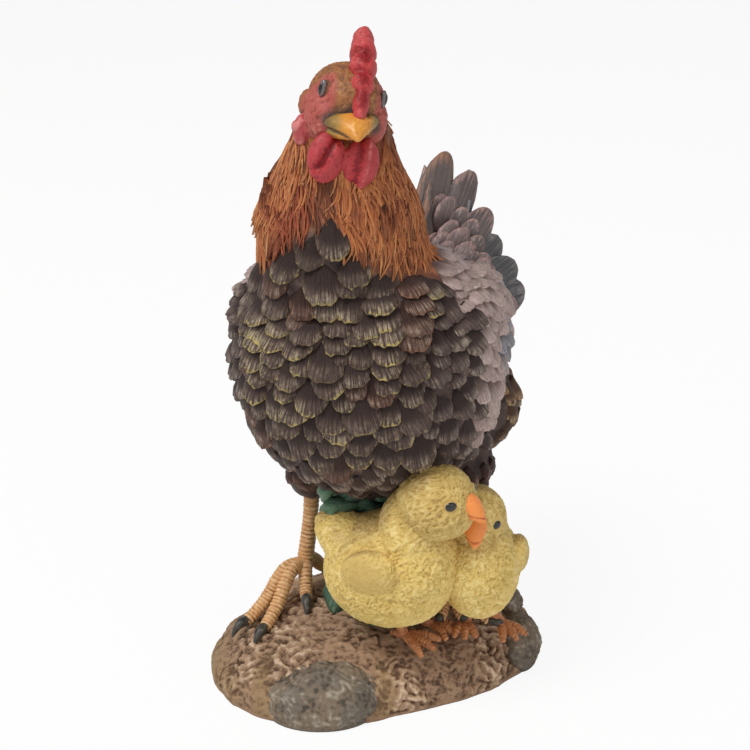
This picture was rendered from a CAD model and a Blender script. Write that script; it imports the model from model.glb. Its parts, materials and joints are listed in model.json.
import json
import math
import random

import bmesh
import bpy
from mathutils import Matrix, Vector, noise
from mathutils.bvhtree import BVHTree

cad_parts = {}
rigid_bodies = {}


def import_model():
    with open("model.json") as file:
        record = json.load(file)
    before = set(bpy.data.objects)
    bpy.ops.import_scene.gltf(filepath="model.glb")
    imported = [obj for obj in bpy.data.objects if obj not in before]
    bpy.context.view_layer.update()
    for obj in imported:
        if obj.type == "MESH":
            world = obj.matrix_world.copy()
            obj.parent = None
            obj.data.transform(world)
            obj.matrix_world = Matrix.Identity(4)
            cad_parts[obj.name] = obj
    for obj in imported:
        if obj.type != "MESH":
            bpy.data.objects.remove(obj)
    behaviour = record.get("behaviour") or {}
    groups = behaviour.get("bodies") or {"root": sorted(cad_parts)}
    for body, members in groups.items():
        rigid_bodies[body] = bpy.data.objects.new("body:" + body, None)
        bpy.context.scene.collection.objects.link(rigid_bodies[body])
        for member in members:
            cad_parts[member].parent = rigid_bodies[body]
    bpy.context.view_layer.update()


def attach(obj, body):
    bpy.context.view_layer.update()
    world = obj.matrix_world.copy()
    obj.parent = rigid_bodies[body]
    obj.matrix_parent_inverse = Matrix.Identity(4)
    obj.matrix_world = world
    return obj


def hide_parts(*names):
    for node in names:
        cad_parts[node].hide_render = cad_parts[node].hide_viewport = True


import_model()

up = Vector((0, 0, 1))
noise.seed_set(8)  # without a seed, noise_vector differs from run to run

# The hen faces -Y and her left side is +X. All sizes are in metres.
hen = dict(bodyWidth=0.10296, breastDepth=0.09504, breastForward=0.008, breastPitch=22, bodyHeight=0.10894,
           bellyLevel=0.07592, rumpWidth=0.0924, rumpLength=0.0664, rumpSetback=0.048, rumpHeight=0.060,
           thighWidth=0.022, thighFluff=0.036, thighSpread=0.053,
           wingLength=0.094, wingDepth=0.052, wingBulge=0.026,
           capeWidth=0.067, capeDrop=0.0645, capeCentre=(-0.005, -0.018), neckWidth=0.038, throatDrop=0.0195,
           coreGrain=0.0017)
head = dict(side=0.001, forward=0.032, level=0.2366, width=0.025, length=0.033, height=0.024, turn=35, tilt=12,
            grain=0.0005)
tail = dict(radius=0.072, rootLevel=0.13806, rootSetback=0.0304, gap=0.003, opening=-0.5, lean=5.5, spread=20,
            topRise=66, sweep=66, outline=(1.0, 1.0, 0.97, 0.87, 0.85, 0.81, 0.83, 0.86, 0.88))


# Colours are written as the photographer's screen would give them, 0 to 255.

def paint(red, green, blue):
    def linear(part):
        share = part / 255
        return share / 12.92 if share <= 0.04045 else ((share + 0.055) / 1.055) ** 2.4
    return (linear(red), linear(green), linear(blue), 1.0)


def blendTone(first, second, share):
    return tuple(a + (b - a) * share for a, b in zip(first, second))


# Shapes that several pieces use

def turned(angle, vector):
    return Matrix.Rotation(math.radians(angle), 3, "Z") @ Vector(vector)


def smoothStep(low, high, value):
    share = min(1.0, max(0.0, (value - low) / (high - low)))
    return share * share * (3 - 2 * share)


def blob(bm, centre, size, turn=0.0, pitch=0.0, roll=0.0, frameOf=None):
    # An ellipsoid by its full sizes, in the world or in another frame.
    matrix = Matrix.Translation(centre) @ Matrix.Rotation(math.radians(turn), 4, "Z")
    matrix = matrix @ Matrix.Rotation(math.radians(pitch), 4, "X") @ Matrix.Rotation(math.radians(roll), 4, "Y")
    matrix = (frameOf or Matrix()) @ matrix @ Matrix.Diagonal((size[0] / 2, size[1] / 2, size[2] / 2, 1))
    bmesh.ops.create_icosphere(bm, subdivisions=4, radius=1, matrix=matrix)


def ringAt(bm, centre, along, halfWidth, halfDepth, sides, sideHint):
    across = along.cross(sideHint)
    across = (across if across.length > 1e-6 else along.orthogonal()).normalized()
    other = across.cross(along).normalized()
    angles = (math.tau * step / sides for step in range(sides))
    return [bm.verts.new(centre + across * math.cos(angle) * halfWidth + other * math.sin(angle) * halfDepth)
            for angle in angles]


def bridge(bm, rings, capEnds=True):
    sides = len(rings[0])
    for low, high in zip(rings, rings[1:]):
        for step in range(sides):
            after = (step + 1) % sides
            bm.faces.new((low[step], low[after], high[after], high[step]))
    if capEnds:
        bm.faces.new(list(reversed(rings[0])))
        bm.faces.new(rings[-1])


def tube(bm, centres, halfWidths, halfDepths=None, sides=16, sideHint=up):
    centres = [Vector(point) for point in centres]
    halfDepths = halfDepths or halfWidths
    rings = []
    for index, centre in enumerate(centres):
        along = (centres[min(index + 1, len(centres) - 1)] - centres[max(index - 1, 0)]).normalized()
        rings.append(ringAt(bm, centre, along, halfWidths[index], halfDepths[index], sides, sideHint))
    bridge(bm, rings)


def smoothPath(points, widths, spacing):
    # A smooth curve through the points, with the width carried along it.
    points = [Vector(point) for point in points]
    line, sizes = [], []
    for index in range(len(points) - 1):
        p0, p1 = points[max(index - 1, 0)], points[index]
        p2, p3 = points[index + 1], points[min(index + 2, len(points) - 1)]
        steps = max(2, round((p2 - p1).length / spacing))
        for step in range(steps):
            t = step / steps
            line.append(0.5 * (2 * p1 + (p2 - p0) * t + (2 * p0 - 5 * p1 + 4 * p2 - p3) * t * t
                               + (3 * p1 - p0 - 3 * p2 + p3) * t ** 3))
            sizes.append(widths[index] + (widths[index + 1] - widths[index]) * t)
    return line + [points[-1]], sizes + [widths[-1]]


def frameMatrix(origin, along, normal):
    across = along.cross(normal).normalized()
    matrix = Matrix((across, normal.cross(across).normalized(), normal)).transposed().to_4x4()
    matrix.translation = origin
    return matrix


def meshFrom(bm, name):
    bmesh.ops.recalc_face_normals(bm, faces=bm.faces)
    mesh = bpy.data.meshes.new(name)
    bm.to_mesh(mesh)
    bm.free()
    return mesh


def unitShape():
    # A repeated shape starts with a UV map, because its paint follows its own length and width.
    bm = bmesh.new()
    bm.loops.layers.uv.new("UVMap")
    return bm


def unitMesh(bm, name, coordinates):
    layer = bm.loops.layers.uv["UVMap"]
    for face in bm.faces:
        for loop in face.loops:
            loop[layer].uv = coordinates[loop.vert]
    return meshFrom(bm, name)


def linked(mesh, name):
    item = bpy.data.objects.new(name, mesh)
    bpy.context.scene.collection.objects.link(item)
    return item


def fused(mesh, grain, smoothing=0):
    # The union of every closed shape in a mesh, as one even skin.
    item = linked(mesh, "fusing")
    skin = item.modifiers.new("skin", "REMESH")
    skin.mode = "VOXEL"
    skin.voxel_size = grain
    if smoothing:
        soften = item.modifiers.new("soften", "SMOOTH")
        soften.factor = 0.5
        soften.iterations = smoothing
    graph = bpy.context.evaluated_depsgraph_get()
    result = bpy.data.meshes.new_from_object(item.evaluated_get(graph))
    bpy.data.objects.remove(item, do_unlink=True)
    bpy.data.meshes.remove(mesh)
    return result


def carve(mesh, depthAt):
    # Moves each point along its normal. The paint reads its relief (0 low, 1 high), tone and shade.
    places = [(vertex.co.copy(), vertex.normal.copy()) for vertex in mesh.vertices]
    columns = ([], [], [])
    for vertex, (place, normal) in zip(mesh.vertices, places):
        height, *marks = depthAt(place, normal)
        vertex.co = place + normal * height
        for column, mark in zip(columns, marks + [0.0]):
            column.append(mark)
    for label, column in zip(("relief", "tone", "shade"), columns):
        mesh.attributes.new(label, "FLOAT", "POINT").data.foreach_set("value", column)
    return mesh


def treeOf(mesh):
    bm = bmesh.new()
    bm.from_mesh(mesh)
    tree = BVHTree.FromBMesh(bm)
    bm.free()
    return tree


def finishPiece(name, mesh, material):
    mesh.name = name
    mesh.materials.clear()
    mesh.materials.append(material)
    mesh.shade_smooth()
    piece = linked(mesh, name)
    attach(piece, "root")
    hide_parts("hen_figurine")
    print(name, sum(len(face.vertices) - 2 for face in mesh.polygons), "triangles")
    return piece


# Shared effects for the paint

def addNode(tree, kind, **settings):
    node = tree.nodes.new(kind)
    for key, value in settings.items():
        setattr(node, key, value)
    return node


def feed(tree, slots, values):
    # A constant is set on its socket, and the output of another node is linked to it.
    for slot, value in zip(slots, values):
        if isinstance(value, bpy.types.NodeSocket):
            tree.links.new(value, slot)
        else:
            slot.default_value = value


def mathNode(tree, operation, *values):
    node = addNode(tree, "ShaderNodeMath", operation=operation)
    feed(tree, node.inputs, values)
    return node.outputs[0]


def product(tree, first, second, *others):
    node = mathNode(tree, "MULTIPLY", first, second)
    return product(tree, node, *others) if others else node


def swingNode(tree, value, amount, onto):
    # Adds a value of 0 to 1 as a swing either way.
    return mathNode(tree, "MULTIPLY_ADD", mathNode(tree, "SUBTRACT", value, 0.5), amount, onto)


def rangeNode(tree, value, low, high, start=0.0, end=1.0):
    node = addNode(tree, "ShaderNodeMapRange", clamp=True, interpolation_type="SMOOTHSTEP")
    labels = ("Value", "From Min", "From Max", "To Min", "To Max")
    feed(tree, [node.inputs[label] for label in labels], (value, low, high, start, end))
    return node.outputs[0]


def mixNode(tree, share, first, second, blendType="MIX"):
    node = addNode(tree, "ShaderNodeMix", data_type="RGBA", blend_type=blendType)
    feed(tree, (node.inputs[0], node.inputs[6], node.inputs[7]), (share, first, second))
    return node.outputs[2]


def noiseNode(tree, vector, scale, detail=3.0, roughness=0.55):
    node = addNode(tree, "ShaderNodeTexNoise")
    labels = ("Vector", "Scale", "Detail", "Roughness")
    feed(tree, [node.inputs[label] for label in labels], (vector, scale, detail, roughness))
    return node.outputs["Fac"]


def newGroup(name, treeKind, inputs, outputs):
    group = bpy.data.node_groups.new(name, treeKind)
    for label, kind, value in inputs:
        slot = group.interface.new_socket(label, in_out="INPUT", socket_type="NodeSocket" + kind)
        if value is not None:
            slot.default_value = value
    for label, kind in outputs:
        group.interface.new_socket(label, in_out="OUTPUT", socket_type="NodeSocket" + kind)
    return group, group.nodes.new("NodeGroupInput"), group.nodes.new("NodeGroupOutput")


def dryBrushGroup():
    # A dark wash in the hollows, and pale paint dragged over what stands up.
    grey = (0.5, 0.5, 0.5, 1)
    group, source, sink = newGroup(
        "dryBrush", "ShaderNodeTree",
        [("Vector", "Vector", None), ("Base", "Color", grey), ("Wash", "Color", grey),
         ("Highlight", "Color", grey), ("Relief", "Float", 0.5), ("Streak Scale", "Float", 900.0),
         ("Wash Reach", "Float", 0.45), ("Brush Start", "Float", 0.6), ("Brush Amount", "Float", 0.8)],
        [("Color", "Color"), ("Height", "Float")])
    given = source.outputs
    speck = noiseNode(group, given["Vector"], given["Streak Scale"], 4.0, 0.65)
    patch = noiseNode(group, given["Vector"], 110.0, 2.0)
    rough = swingNode(group, speck, 0.55, given["Relief"])
    low = rangeNode(group, rough, given["Wash Reach"], 0.05)
    high = rangeNode(group, rough, given["Brush Start"], 1.0)
    uneven = swingNode(group, patch, 0.5, low)
    washed = mixNode(group, mathNode(group, "MINIMUM", mathNode(group, "MAXIMUM", uneven, 0.0), 1.0),
                     given["Base"], given["Wash"])
    brushed = mixNode(group, product(group, high, given["Brush Amount"]), washed, given["Highlight"])
    feed(group, (sink.inputs["Color"], sink.inputs["Height"]), (brushed, product(group, speck, 0.5)))
    return group


def barbGroup():
    # Fine lines that fan out along a feather, from its own UV map.
    group, source, sink = newGroup(
        "barbLines", "ShaderNodeTree",
        [("UV", "Vector", None), ("Lines", "Float", 24.0), ("Shift", "Float", 0.0), ("Curve", "Float", 0.35)],
        [("Mask", "Float"), ("Height", "Float")])
    given = source.outputs
    parts = addNode(group, "ShaderNodeSeparateXYZ")
    group.links.new(given["UV"], parts.inputs[0])
    across, along = parts.outputs[0], parts.outputs[1]
    fanned = mathNode(group, "DIVIDE", mathNode(group, "SUBTRACT", across, 0.5),
                      mathNode(group, "MULTIPLY_ADD", along, given["Curve"], 0.75))

    def streaks(width, length, seed):
        joined = addNode(group, "ShaderNodeCombineXYZ")
        feed(group, joined.inputs, (product(group, fanned, width), product(group, along, length),
                                    mathNode(group, "MULTIPLY_ADD", given["Shift"], 37.0, seed)))
        return noiseNode(group, joined.outputs[0], 1.0, 2.0, 0.6)

    bend = product(group, streaks(6.0, 2.0, 3.0), 9.0)
    phase = mathNode(group, "ADD", product(group, fanned, given["Lines"], math.tau), bend)
    wave = mathNode(group, "MULTIPLY_ADD", mathNode(group, "SINE", phase), 0.5, 0.5)
    ridge = mathNode(group, "MULTIPLY_ADD", streaks(34.0, 1.6, 11.0), 1.25, product(group, wave, 0.14))
    feed(group, (sink.inputs["Mask"], sink.inputs["Height"]), (rangeNode(group, ridge, 0.50, 0.94), ridge))
    return group


def startMaterial(name, roughness, coat=0.0):
    material = bpy.data.materials.new(name)
    material.use_nodes = True
    tree = material.node_tree
    shader = tree.nodes["Principled BSDF"]
    shader.inputs["Roughness"].default_value = roughness
    shader.inputs["Coat Weight"].default_value = coat
    shader.inputs["Coat Roughness"].default_value = 0.25
    shader.inputs["Specular IOR Level"].default_value = 0.35
    return material, tree, shader


def attributeNode(tree, name, output="Fac"):
    return addNode(tree, "ShaderNodeAttribute", attribute_name=name).outputs[output]


def addBump(tree, shader, height, strength, distance):
    bump = addNode(tree, "ShaderNodeBump")
    slots = [bump.inputs[label] for label in ("Height", "Strength", "Distance")]
    feed(tree, slots + [shader.inputs["Normal"]], (height, strength, distance, bump.outputs[0]))


def castPaint(name, look):
    # A carved surface: a first and a second colour by tone, then wash and dry brush by relief.
    look = castLook | look
    material, tree, shader = startMaterial(name, look["roughness"], look["coat"])
    tone = attributeNode(tree, "tone")
    effect = addNode(tree, "ShaderNodeGroup", node_tree=dryBrush)
    given = {"Vector": addNode(tree, "ShaderNodeTexCoord").outputs["Object"],
             "Relief": attributeNode(tree, "relief"), "Streak Scale": look["streaks"],
             "Wash Reach": look["washReach"], "Brush Start": look["brushStart"],
             "Brush Amount": look["brushAmount"]}
    for label, first in (("Base", "base"), ("Wash", "wash"), ("Highlight", "light")):
        second = look.get(first + "Two", look[first])
        given[label] = mixNode(tree, tone, paint(*look[first]), paint(*second))
    feed(tree, [effect.inputs[label] for label in given], given.values())
    shaded = mixNode(tree, attributeNode(tree, "shade"), effect.outputs["Color"], paint(*look["shade"]))
    tree.links.new(shaded, shader.inputs["Base Color"])
    addBump(tree, shader, effect.outputs["Height"], look["bump"], look["bumpDepth"])
    return material


def featherPaint(name, look):
    # Barbs, a dark root, and a rim of pale paint, from the feather's UV map and its own tones.
    material, tree, shader = startMaterial(name, look["roughness"])
    uv = addNode(tree, "ShaderNodeUVMap", uv_map="UVMap").outputs[0]
    parts = addNode(tree, "ShaderNodeSeparateXYZ")
    tree.links.new(uv, parts.inputs[0])
    across, length = parts.outputs[0], parts.outputs[1]
    barbs = addNode(tree, "ShaderNodeGroup", node_tree=barbLines)
    feed(tree, [barbs.inputs[label] for label in ("UV", "Lines", "Shift", "Curve")],
         (uv, look["lines"], attributeNode(tree, "tint"), look["curve"]))
    mask = barbs.outputs["Mask"]
    place = addNode(tree, "ShaderNodeTexCoord").outputs["Object"]
    speck = noiseNode(tree, place, look["speckScale"], 4.0, 0.6)
    patch = noiseNode(tree, place, look["patchScale"], 2.0)
    worn = rangeNode(tree, product(tree, patch, speck), 0.17, 0.36)
    along = swingNode(tree, speck, look["ragged"], swingNode(tree, mask, look["ragged"], length))
    base, rimTone = attributeNode(tree, "baseTone", "Color"), attributeNode(tree, "rimTone", "Color")
    deep = mixNode(tree, 1.0, base, look["deep"], "MULTIPLY")
    colour = mixNode(tree, rangeNode(tree, along, look["rootEnd"], look["rootStart"]), base, deep)
    colour = mixNode(tree, product(tree, mathNode(tree, "SUBTRACT", 1.0, mask), look["lineAmount"]), colour, deep)
    brushed = product(tree, mask, worn, rangeNode(tree, length, look["brushFrom"], 0.97, 0.0, look["brushAmount"]))
    colour = mixNode(tree, brushed, colour, mixNode(tree, look["brushRim"], paint(*look["brushTone"]), rimTone))
    rim = rangeNode(tree, along, look["rimStart"], look["rimEnd"])
    edge = mathNode(tree, "ABSOLUTE", mathNode(tree, "SUBTRACT", across, 0.5))
    side = product(tree, rangeNode(tree, edge, look["sideStart"], 0.5),
                   rangeNode(tree, length, 0.35, 0.7, 0.0, look["sideAmount"]))
    covered = product(tree, mathNode(tree, "MAXIMUM", rim, side),
                      rangeNode(tree, worn, 0.2, 0.7, look["rimWorn"], look["rimAmount"]))
    tree.links.new(mixNode(tree, covered, colour, rimTone), shader.inputs["Base Color"])
    height = mathNode(tree, "MULTIPLY_ADD", speck, 0.35, barbs.outputs["Height"])
    addBump(tree, shader, height, look["bump"], look["bumpDepth"])
    return material


dryBrush = dryBrushGroup()
barbLines = barbGroup()
castLook = dict(roughness=0.6, coat=0.0, streaks=900.0, washReach=0.45, brushStart=0.6, brushAmount=0.8,
                shade=(60, 50, 44), bump=0.35, bumpDepth=0.0004)

# Along a feather, 0 is its root and 1 its tip: the dark root fades out from rootStart to rootEnd,
# the dry brush begins at brushFrom, and the pale rim grows in from rimStart to rimEnd.
featherLook = dict(roughness=0.62, lines=9, curve=0.5, ragged=0.07, rootStart=0.50, rootEnd=0.88, rimStart=0.925,
                   rimEnd=0.965, rimAmount=0.9, rimWorn=0.12, sideStart=0.44, sideAmount=0.3, lineAmount=0.62,
                   deep=(0.25, 0.20, 0.19, 1), brushFrom=0.58, brushAmount=1.0, brushTone=(206, 190, 170),
                   brushRim=0.3, speckScale=650.0, patchScale=90.0, bump=1.0, bumpDepth=0.0008)
plumagePaint = featherPaint("plumagePaint", featherLook)
covertPaint = featherPaint("covertPaint", featherLook | dict(
    lines=6, rootStart=0.25, rootEnd=0.72, rimStart=0.87, rimEnd=0.94, rimWorn=0.4, sideStart=0.40,
    sideAmount=0.8, lineAmount=0.36, deep=(0.42, 0.37, 0.36, 1), brushFrom=0.25, brushAmount=0.8,
    brushTone=(226, 208, 204)))
hacklePaint = featherPaint("hacklePaint", featherLook | dict(
    lines=5, curve=0.2, ragged=0.30, rootStart=0.05, rootEnd=0.6, rimStart=0.75, rimEnd=1.0, rimAmount=0.55,
    rimWorn=0.4, sideAmount=0.1, lineAmount=0.9, deep=(0.34, 0.22, 0.17, 1), brushFrom=0.0, brushAmount=0.5,
    brushTone=(190, 126, 78), bumpDepth=0.0006))
strandPaint = featherPaint("strandPaint", featherLook | dict(
    lines=2, curve=0.1, ragged=0.30, rootStart=0.0, rootEnd=0.55, rimStart=0.55, rimEnd=1.0, rimAmount=0.6,
    rimWorn=0.45, sideAmount=0.0, lineAmount=0.5, deep=(0.38, 0.26, 0.20, 1), brushFrom=0.2, brushAmount=0.6,
    brushTone=(216, 156, 100), bump=0.4, bumpDepth=0.0003))
tailPaint = featherPaint("tailPaint", featherLook | dict(
    lines=21, curve=0.25, rootStart=0.2, rootEnd=0.5, rimEnd=0.975, rimWorn=0.5, sideStart=0.455,
    sideAmount=0.7, lineAmount=0.40, brushFrom=0.0, brushAmount=0.35, brushTone=(160, 146, 142), brushRim=0.0,
    bumpDepth=0.0005))
skinPaint = castPaint("underFeatherPaint", dict(
    base=(74, 56, 50), wash=(48, 35, 30), light=(110, 90, 80), baseTwo=(122, 70, 46), washTwo=(84, 46, 32),
    lightTwo=(168, 108, 70), roughness=0.65, bump=0.6))


# Repeated shapes stand on spots, through one Geometry Nodes tree

def scatterTree():
    tree, source, sink = newGroup(
        "scatterOnSpots", "GeometryNodeTree",
        [("Geometry", "Geometry", None), ("Shapes", "Collection", None), ("Width", "Float", 0.01),
         ("Length", "Float", 0.01), ("Lift", "Float", 0.01), ("Waver", "Float", 0.1),
         ("Size Jitter", "Float", 0.1), ("Seed", "Int", 1), ("Material", "Material", None)],
        [("Geometry", "Geometry")])
    link = tree.links.new

    def named(label, kind):
        node = addNode(tree, "GeometryNodeInputNamedAttribute", data_type=kind)
        node.inputs["Name"].default_value = label
        return node.outputs["Attribute"]

    shapes = addNode(tree, "GeometryNodeCollectionInfo", transform_space="ORIGINAL")
    shapes.inputs["Separate Children"].default_value = True
    shapes.inputs["Reset Children"].default_value = True
    link(source.outputs["Shapes"], shapes.inputs["Collection"])
    sizes = addNode(tree, "ShaderNodeCombineXYZ")
    for label, slot in zip(("Width", "Length", "Lift"), sizes.inputs):
        link(source.outputs[label], slot)
    stretched = addNode(tree, "ShaderNodeVectorMath", operation="MULTIPLY")
    link(sizes.outputs[0], stretched.inputs[0])
    link(named("stretch", "FLOAT_VECTOR"), stretched.inputs[1])
    growth = addNode(tree, "FunctionNodeRandomValue", data_type="FLOAT")
    link(mathNode(tree, "SUBTRACT", 1.0, source.outputs["Size Jitter"]), growth.inputs[2])
    link(mathNode(tree, "ADD", 1.0, source.outputs["Size Jitter"]), growth.inputs[3])
    link(source.outputs["Seed"], growth.inputs["Seed"])
    scaled = addNode(tree, "ShaderNodeVectorMath", operation="SCALE")
    link(stretched.outputs[0], scaled.inputs[0])
    link(growth.outputs[1], scaled.inputs["Scale"])
    swing = addNode(tree, "FunctionNodeRandomValue", data_type="FLOAT")
    link(mathNode(tree, "MULTIPLY", source.outputs["Waver"], -1.0), swing.inputs[2])
    link(source.outputs["Waver"], swing.inputs[3])
    link(mathNode(tree, "ADD", source.outputs["Seed"], 1.0), swing.inputs["Seed"])
    spin = addNode(tree, "ShaderNodeCombineXYZ")
    link(swing.outputs[1], spin.inputs[2])
    turning = addNode(tree, "FunctionNodeRotateRotation", rotation_space="LOCAL")
    link(named("turn", "FLOAT_VECTOR"), turning.inputs[0])
    link(spin.outputs[0], turning.inputs[1])
    place = addNode(tree, "GeometryNodeInstanceOnPoints")
    place.inputs["Pick Instance"].default_value = True
    link(source.outputs["Geometry"], place.inputs["Points"])
    link(shapes.outputs[0], place.inputs["Instance"])
    link(named("variant", "INT"), place.inputs["Instance Index"])
    link(turning.outputs[0], place.inputs["Rotation"])
    link(scaled.outputs[0], place.inputs["Scale"])
    real = tree.nodes.new("GeometryNodeRealizeInstances")
    link(place.outputs[0], real.inputs[0])
    coat = tree.nodes.new("GeometryNodeSetMaterial")
    link(real.outputs[0], coat.inputs["Geometry"])
    link(source.outputs["Material"], coat.inputs["Material"])
    link(coat.outputs[0], sink.inputs[0])
    return tree


spotTree = scatterTree()
socketIds = {item.name: item.identifier for item in spotTree.interface.items_tree if item.in_out == "INPUT"}


# What a spot says after its place: attribute, type, and how its values are stored
spotFields = (("turn", "FLOAT_VECTOR", "vector"), ("stretch", "FLOAT_VECTOR", "vector"),
              ("variant", "INT", "value"), ("tint", "FLOAT", "value"),
              ("baseTone", "FLOAT_COLOR", "color"), ("rimTone", "FLOAT_COLOR", "color"))


def spot(matrix, baseTone, rimTone, variant, tint, stretch):
    return (matrix.translation.copy(), tuple(matrix.to_euler()), stretch, variant, tint, baseTone, rimTone)


def scatterPiece(name, spots, shapes, material, size, waver, jitter, seed):
    mesh = bpy.data.meshes.new(name + "Spots")
    mesh.from_pydata([item[0] for item in spots], [], [])
    for column, (label, kind, field) in enumerate(spotFields, 1):
        values = []
        for item in spots:
            values.extend(item[column] if isinstance(item[column], tuple) else (item[column],))
        mesh.attributes.new(label, kind, "POINT").data.foreach_set(field, values)
    holder = linked(mesh, name + "Holder")
    shelf = bpy.data.collections.new(name + "Shapes")
    for index, shape in enumerate(shapes):
        shelf.objects.link(bpy.data.objects.new(f"{name}Shape{index}", shape))
    modifier = holder.modifiers.new("scatter", "NODES")
    modifier.node_group = spotTree
    inputs = dict(zip(("Width", "Length", "Lift"), size)) | {
        "Shapes": shelf, "Material": material, "Waver": waver, "Size Jitter": jitter, "Seed": seed}
    for label, value in inputs.items():
        modifier[socketIds[label]] = value
    graph = bpy.context.evaluated_depsgraph_get()
    result = bpy.data.meshes.new_from_object(holder.evaluated_get(graph))
    holder.modifiers.remove(modifier)
    bpy.data.objects.remove(holder, do_unlink=True)
    for shape in list(shelf.objects):
        bpy.data.objects.remove(shape, do_unlink=True)
    bpy.data.collections.remove(shelf)
    return finishPiece(name, result, material)


def unitFeather(name, seed, columns, rows, rootWidth, widest, tipWidth, roundness, crown, ridge, ragged, split=0.0):
    # A feather 1 wide and 1 long, root at the origin and tip at +Y, with a closed underside.
    dice = random.Random(seed)
    bm = unitShape()
    tips = [dice.uniform(-1, 1) * ragged - ragged * 0.7 * (column % 2) for column in range(columns + 1)]
    grid, coordinates = [], {}
    for row in range(rows + 1):
        v = row / rows
        if v < widest:
            width = rootWidth + (1 - rootWidth) * smoothStep(0, widest, v)
        else:
            width = 1 + (tipWidth - 1) * ((v - widest) / (1 - widest)) ** 1.6
        line = []
        for column in range(columns + 1):
            u = 2 * column / columns - 1
            reach = 1 - roundness * (1 - math.sqrt(max(0.0, 1 - (0.98 * u) ** 2)))
            y = v * (reach + tips[column] * smoothStep(0.4, 1, v) - split * math.exp(-(u / 0.16) ** 2) * v ** 4)
            comb = ridge * (1 if column % 2 else -1) * smoothStep(0.1, 0.6, v)
            sag = crown * (1 - u * u) * (1 - 0.35 * v) - 0.30 * abs(u) ** 4 - 0.35 * smoothStep(0.82, 1, v)
            vertex = bm.verts.new((0.5 * u * width, y, sag + comb + dice.uniform(-0.3, 0.3) * ridge))
            coordinates[vertex] = ((u + 1) / 2, v)
            line.append(vertex)
        grid.append(line)
    for low, high in zip(grid, grid[1:]):
        for column in range(columns):
            bm.faces.new((low[column], low[column + 1], high[column + 1], high[column]))
    left, right = [line[0] for line in grid[1:-1]], [line[-1] for line in grid[1:]]
    edge = grid[0] + right + grid[-1][-2::-1] + left[::-1]
    under = []
    for vertex in edge:
        u, v = coordinates[vertex]
        lower = bm.verts.new((vertex.co.x * 0.94, vertex.co.y - 0.02 * v, vertex.co.z - 0.9))
        coordinates[lower] = (u, v * 0.55)
        under.append(lower)
    for step, vertex in enumerate(edge):
        after = (step + 1) % len(edge)
        bm.faces.new((vertex, under[step], under[after], edge[after]))
    bm.faces.new(list(reversed(under)))
    return unitMesh(bm, name, coordinates)


# The body under the feathers

def headFrame():
    place = Matrix.Translation((head["side"], -head["forward"], head["level"]))
    turn = Matrix.Rotation(math.radians(head["turn"]), 4, "Z")
    return place @ turn @ Matrix.Rotation(math.radians(head["tilt"]), 4, "Y")


def capeLevels():
    # The neck from under the cape's hem up into the head: height, centre and half width.
    hem, throat = head["level"] - hen["capeDrop"], head["level"] - hen["throatDrop"]
    wide, slim = hen["capeWidth"] / 2, hen["neckWidth"] / 2
    return [(hem - 0.016, (-0.005, -0.017), wide + 0.001),
            (hem, hen["capeCentre"], wide - 0.001),
            ((hem + throat) / 2 + 0.003, (-0.0055, -0.023), (wide + slim) / 2 + 0.0024),
            (throat, (-0.002, -0.028), slim),
            (head["level"] - 0.006, (0.001, -head["forward"] + 0.002), slim - 0.005)]


def makeCore():
    bm = bmesh.new()
    belly, height, width = hen["bellyLevel"], hen["bodyHeight"], hen["bodyWidth"]
    blob(bm, (0, -hen["breastForward"], belly + 0.002 + height / 2), (width, hen["breastDepth"], height),
         pitch=hen["breastPitch"])
    under = (width * 0.70, hen["breastDepth"] * 0.84, height * 0.60)
    blob(bm, (0.004, 0.010, belly + under[2] / 2), under)
    blob(bm, (0, hen["rumpSetback"], belly - 0.006 + hen["rumpHeight"] / 2),
         (hen["rumpWidth"], hen["rumpLength"], hen["rumpHeight"]))
    blob(bm, (0, hen["rumpSetback"] - 0.010, tail["rootLevel"] - 0.006),
         (hen["rumpWidth"] * 0.82, hen["rumpLength"] * 1.1, height * 0.68))
    thigh, fluff = hen["thighWidth"], hen["thighFluff"]
    for side in (-1, 1):
        across = side * hen["thighSpread"] / 2
        blob(bm, (across, 0.002, belly + 0.006), (thigh, thigh * 1.5, thigh * 1.3))
        blob(bm, (across, fluff * 0.45, belly + 0.009), (fluff,) * 3)
        wing = (side * (width / 2 - hen["wingBulge"] / 2 - 0.003), 0.014, belly + height * 0.60)
        blob(bm, wing, (hen["wingBulge"], hen["wingLength"], hen["wingDepth"]), turn=side * 9, pitch=-14)
    levels = capeLevels()
    tube(bm, [(x, y, z) for z, (x, y), _ in levels], [half for _, _, half in levels], sides=28,
         sideHint=Vector((0, 1, 0)))
    blob(bm, (0, 0, 0), (head["width"], head["length"], head["height"]), frameOf=headFrame())
    return fused(meshFrom(bm, "core"), hen["coreGrain"], 9)


core = makeCore()
coreTree = treeOf(core)


# Scalloped feathers on the breast, flanks, wings and back

# In each layout, row and gap set the spacing, tilt lifts the tips and sink buries the roots.
plumage = dict(seed=7, bulge=0.1171875, sizes=dict(flank=0.84, low=0.80, thigh=0.66, fluff=0.72),
               flatness=dict(low=0.55, thigh=0.5, fluff=0.6),
               big=dict(width=0.0126, length=0.0148, row=0.0047, gap=0.0090, tilt=0.37, sink=0.0021),
               small=dict(width=0.0086, length=0.0112, row=0.0041, gap=0.0060, tilt=0.34, sink=0.0013),
               breast=(paint(104, 84, 76), paint(222, 198, 118)), rust=(paint(116, 82, 68), paint(176, 122, 84)),
               flank=(paint(114, 96, 90), paint(184, 166, 148)), low=(paint(142, 122, 112), paint(206, 192, 172)),
               wing=(paint(206, 180, 173), paint(246, 220, 212)), back=(paint(182, 162, 160), paint(236, 214, 210)),
               fluff=(paint(178, 142, 106), paint(226, 192, 146)), thigh=(paint(136, 94, 76), paint(190, 142, 114)),
               slate=(paint(158, 158, 166), paint(212, 206, 208)))

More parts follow.
